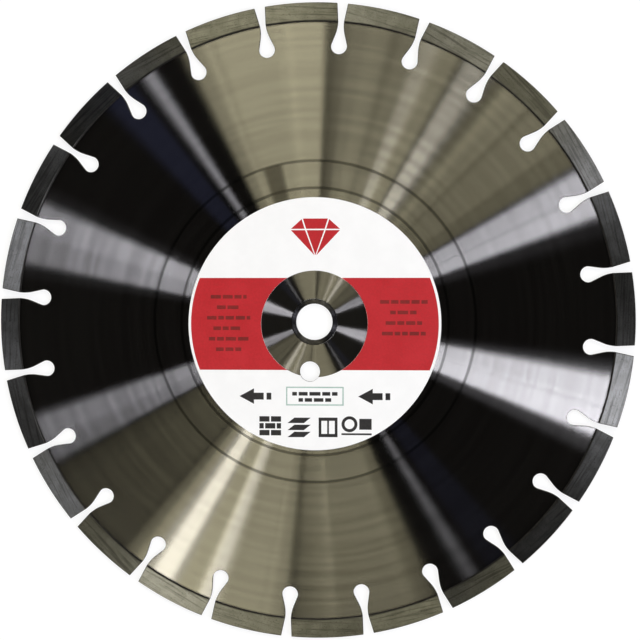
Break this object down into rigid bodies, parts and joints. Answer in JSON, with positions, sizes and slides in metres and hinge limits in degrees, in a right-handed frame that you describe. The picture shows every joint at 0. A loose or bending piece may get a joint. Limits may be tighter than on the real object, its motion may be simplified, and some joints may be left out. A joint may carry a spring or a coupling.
{
  "type": "diamond blade",
  "caption": "Flat round saw blade: slotted ground steel core with sintered diamond segments welded to its rim, a loose reducing bush in the arbor hole and a printed ring label.",
  "frame": {"origin": "middle of the arbor hole, halfway through the thickness", "axes": "+Z along the blade's axis out of the labelled front face, +Y to the top of the label"},
  "size_m": [0.35, 0.35, 0.0032],
  "materials": {
    "ground_steel": "ground round the axis, satin, with fine concentric lines",
    "diamond_matrix": "sintered metal and diamond grit, side-ground, grainy",
    "bush_steel": "turned and darkened",
    "label_print": "satin film printed white and red, stuck down"
  },
  "bodies": {
    "blade": {"steel_core": "ground_steel", "segment_01": "diamond_matrix", "segment_02": "diamond_matrix", "segment_03": "diamond_matrix", "segment_04": "diamond_matrix", "segment_05": "diamond_matrix", "segment_06": "diamond_matrix", "segment_07": "diamond_matrix", "segment_08": "diamond_matrix", "segment_09": "diamond_matrix", "segment_10": "diamond_matrix", "segment_11": "diamond_matrix", "segment_12": "diamond_matrix", "segment_13": "diamond_matrix", "segment_14": "diamond_matrix", "segment_15": "diamond_matrix", "segment_16": "diamond_matrix", "segment_17": "diamond_matrix", "segment_18": "diamond_matrix", "segment_19": "diamond_matrix", "segment_20": "diamond_matrix", "segment_21": "diamond_matrix", "segment_22": "diamond_matrix", "segment_23": "diamond_matrix", "segment_24": "diamond_matrix", "front_label": "label_print"},
    "bush": {"reducing_bush": "bush_steel"}
  },
  "joints": [
    {"name": "bush_push_out", "type": "slide", "parent": "blade", "child": "bush", "axis": [0, 0, 1], "range_m": [0, 0.012]}
  ]
}
